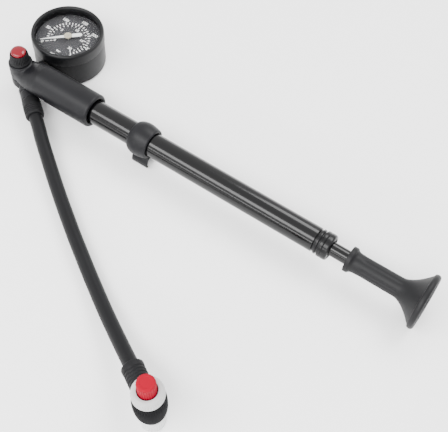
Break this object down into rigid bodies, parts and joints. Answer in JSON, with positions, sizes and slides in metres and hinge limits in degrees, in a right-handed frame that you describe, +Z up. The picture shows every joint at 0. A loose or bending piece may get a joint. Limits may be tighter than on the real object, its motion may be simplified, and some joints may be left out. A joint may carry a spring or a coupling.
{
  "type": "shock suspension pump",
  "caption": "Hand pump for suspension air springs: slim barrel with palm handle, round dial gauge, bleed button and a swivelling hose ending in a screw-on valve chuck.",
  "frame": {"origin": "on the table, under the middle of the pump without its hose and chuck", "axes": "+X along the barrel from the head to the handle, +Y towards the gauge, +Z up out of the gauge's face"},
  "size_m": [0.3222, 0.2152, 0.0529],
  "materials": {
    "satin_black_plastic": "satin",
    "black_rubber": "matt",
    "black_anodised": "gloss black anodised",
    "brass": "machined",
    "steel": "plain",
    "red_plastic": "gloss",
    "white_plastic": "satin, slightly translucent",
    "clear_plastic": "clear",
    "dial_face": "printed",
    "pointer_white": "painted white",
    "nitrile": "seal rubber"
  },
  "bodies": {
    "pump_body": {"head_body": "satin_black_plastic", "check_valve_seat": "brass", "check_valve_ball": "steel", "check_valve_spring": "steel", "barrel_tube": "black_anodised", "barrel_end_cap": "satin_black_plastic", "rod_guide_bush": "brass", "rod_wiper_seal": "nitrile", "gauge_case": "satin_black_plastic", "gauge_bezel": "satin_black_plastic", "gauge_lens": "clear_plastic", "gauge_dial": "dial_face", "gauge_movement": "brass", "gauge_bourdon_tube": "brass", "gauge_stem": "brass", "bleed_collar": "black_rubber", "bleed_spring": "steel", "banjo_bolt": "steel"},
    "plunger": {"piston_rod": "black_anodised", "piston": "brass", "piston_seal": "nitrile", "handle_grip": "satin_black_plastic", "handle_end_pad": "black_rubber"},
    "bleed_button": {"bleed_button": "red_plastic", "bleed_poppet": "nitrile"},
    "gauge_hand": {"gauge_pointer": "pointer_white", "gauge_pointer_hub": "white_plastic"},
    "gauge_sector": {"gauge_sector": "brass"},
    "clip_collar": {"clip_collar": "satin_black_plastic"},
    "hose_assembly": {"hose_fitting": "satin_black_plastic", "swivel_seal_lower": "nitrile", "swivel_seal_upper": "nitrile", "head_ferrule": "black_rubber", "hose": "black_rubber", "chuck_body": "satin_black_plastic", "chuck_ferrule": "black_rubber", "chuck_collar": "white_plastic", "chuck_seal": "nitrile"},
    "valve_pin": {"valve_depressor_pin": "brass"},
    "chuck_knob": {"chuck_knob": "red_plastic"},
    "chuck_coupling": {"chuck_coupling": "clear_plastic"}
  },
  "joints": [
    {"name": "plunger_slide", "type": "slide", "parent": "pump_body", "child": "plunger", "axis": [1, 0, 0], "range_m": [-0.0112, 0.135]},
    {"name": "bleed_press", "type": "slide", "parent": "pump_body", "child": "bleed_button", "axis": [0, 0, 1], "range_m": [-0.0013, 0], "stiffness_N_per_m": 500, "springref_m": 0.001, "deforming": ["bleed_spring"]},
    {"name": "pointer_turn", "type": "hinge", "parent": "pump_body", "child": "gauge_hand", "pos_m": [-0.1363, 0.01578, 0.0228], "axis": [0, 0, 1], "range_deg": [-270, 0]},
    {"name": "sector_turn", "type": "hinge", "parent": "pump_body", "child": "gauge_sector", "pos_m": [-0.1502, 0.01578, 0.017], "axis": [0, 0, 1], "range_deg": [0, 34]},
    {"name": "clip_turn", "type": "hinge", "parent": "pump_body", "child": "clip_collar", "pos_m": [-0.0431, -0.02262, 0.018], "axis": [1, 0, 0], "range_deg": [-180, 180]},
    {"name": "hose_swivel", "type": "hinge", "parent": "pump_body", "child": "hose_assembly", "pos_m": [-0.1451, -0.02262, 0.009], "axis": [0, 0, 1], "range_deg": [-170, 0]},
    {"name": "pin_travel", "type": "slide", "parent": "hose_assembly", "child": "valve_pin", "axis": [-0.0434, -0.0293, 0.9986], "range_m": [-0.00175, 0]},
    {"name": "knob_turn", "type": "hinge", "parent": "valve_pin", "child": "chuck_knob", "pos_m": [0.06659, -0.16541, 0.04433], "axis": [-0.0434, -0.0293, 0.9986], "range_deg": [-360, 0]},
    {"name": "coupling_turn", "type": "hinge", "parent": "hose_assembly", "child": "chuck_coupling", "pos_m": [0.06815, -0.16436, 0.00838], "axis": [-0.0434, -0.0293, 0.9986], "continuous": true}
  ],
  "couplings": [
    {"joint": "sector_turn", "follows": "pointer_turn", "ratio": -0.125},
    {"joint": "knob_turn", "follows": "pin_travel", "rad_per_m": 3590.4}
  ]
}
